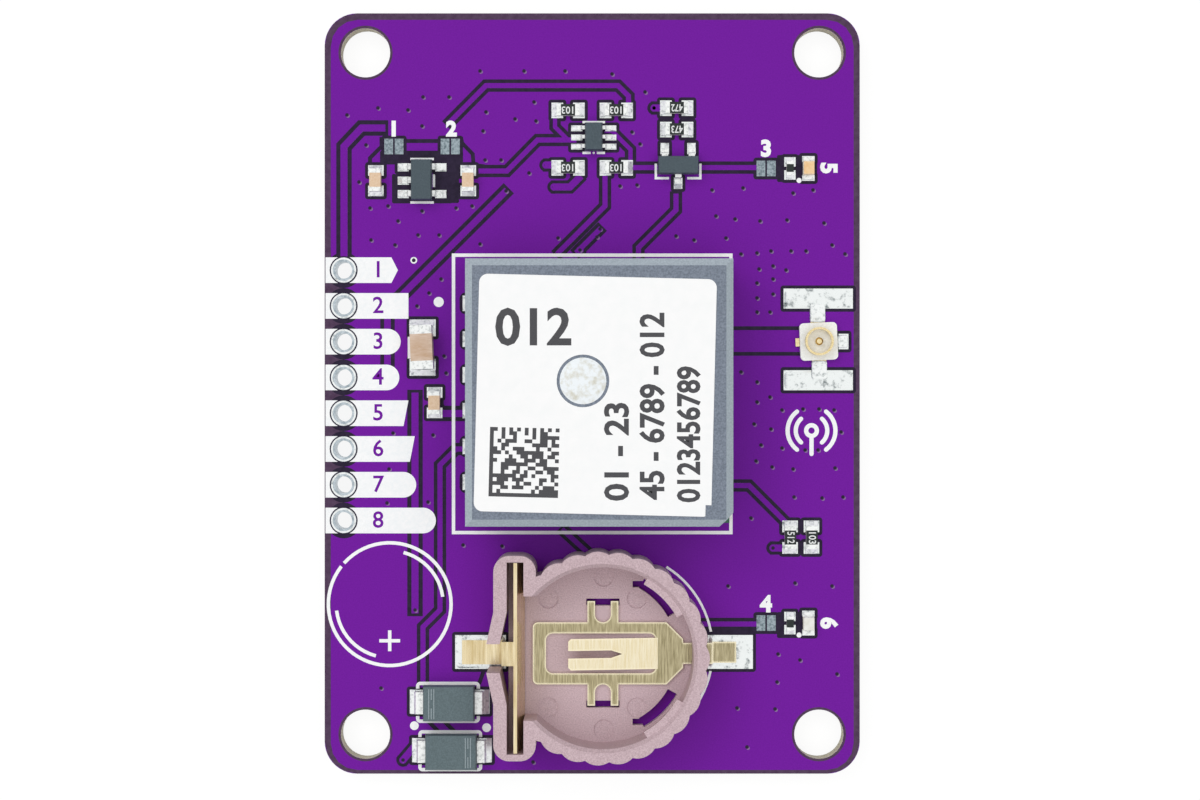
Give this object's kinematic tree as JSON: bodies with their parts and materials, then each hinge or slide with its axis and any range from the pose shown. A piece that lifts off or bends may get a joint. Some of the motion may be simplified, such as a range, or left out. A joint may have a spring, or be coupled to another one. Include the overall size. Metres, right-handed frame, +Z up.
{
  "type": "gps module",
  "caption": "Flat purple circuit board with a square patch-antenna receiver block, an empty round coin-cell holder, a row of plated header holes and a coaxial antenna jack.",
  "frame": {"origin": "middle of the board's underside", "axes": "+Z up out of the parts side, +Y along the board's length towards the small parts' edge, +X away from the header row"},
  "size_m": [0.038, 0.054, 0.0084],
  "materials": {
    "board_mask": "semi-gloss purple solder mask over copper and laminate",
    "print_ink": "matt white printed ink",
    "pad_tin": "satin tin on copper",
    "jumper_tin": "dull flat tin on copper",
    "carrier_laminate": "green glass-fibre laminate",
    "shield_sheet": "satin tinned sheet steel",
    "chip_epoxy": "matt black moulded epoxy",
    "oscillator_case": "ceramic case with a plated lid",
    "adhesive_tape": "thin adhesive tape",
    "antenna_ceramic": "fine-grained grey fired face",
    "feed_metal": "tinned pin",
    "feed_solder": "bright solder",
    "label_paper": "smooth white label stock",
    "holder_plastic": "pinkish-grey glass-filled moulding, fine grain",
    "contact_gold": "brushed gold-plated spring sheet",
    "diode_epoxy": "matt grey moulded epoxy",
    "package_epoxy": "matt dark moulded epoxy",
    "lead_tin": "bright tinned leads",
    "alumina": "white alumina",
    "resistor_glaze": "dark glossy overglaze",
    "chip_tin": "bright tin over the chip ends",
    "capacitor_ceramic": "tan fired ceramic",
    "bulk_ceramic": "pale tan fired ceramic",
    "lamp_base": "white laminate base",
    "amber_lens": "peach tinted clear resin",
    "clear_lens": "cream clear resin",
    "jack_plastic": "cream moulded insulator",
    "jack_gold": "gold plating, turned"
  },
  "bodies": {
    "root": {"board": "board_mask", "white_print": "print_ink", "header_barrels": "pad_tin", "component_pads": "pad_tin", "jumper_pads": "jumper_tin", "receiver_lands": "pad_tin", "receiver_carrier": "carrier_laminate", "receiver_solder": "feed_solder", "receiver_shield": "shield_sheet", "receiver_chip": "chip_epoxy", "receiver_oscillator": "oscillator_case", "receiver_filter": "chip_epoxy", "antenna_tape": "adhesive_tape", "patch_antenna": "antenna_ceramic", "feed_pin": "feed_metal", "feed_solder": "feed_solder", "receiver_label": "label_paper", "holder_body": "holder_plastic", "holder_positive_contact": "contact_gold", "holder_negative_contact": "contact_gold", "holder_pads": "pad_tin", "input_diode_body": "diode_epoxy", "input_diode_leads": "lead_tin", "backup_diode_body": "diode_epoxy", "backup_diode_leads": "lead_tin", "regulator_body": "package_epoxy", "regulator_leads": "lead_tin", "shifter_body": "package_epoxy", "shifter_leads": "lead_tin", "transistor_body": "package_epoxy", "transistor_leads": "lead_tin", "resistor_cores": "alumina", "resistor_coats": "resistor_glaze", "resistor_ends": "chip_tin", "regulator_capacitor_bodies": "capacitor_ceramic", "regulator_capacitor_ends": "chip_tin", "bulk_capacitor_body": "bulk_ceramic", "bulk_capacitor_ends": "chip_tin", "bypass_capacitor_body": "capacitor_ceramic", "bypass_capacitor_ends": "chip_tin", "lamp_bases": "lamp_base", "power_lamp_lens": "amber_lens", "pulse_lamp_lens": "clear_lens", "lamp_ends": "chip_tin", "jack_base": "jack_plastic", "jack_shell": "jack_gold", "jack_pin": "jack_gold", "jack_pads": "pad_tin"}
  },
  "joints": []
}
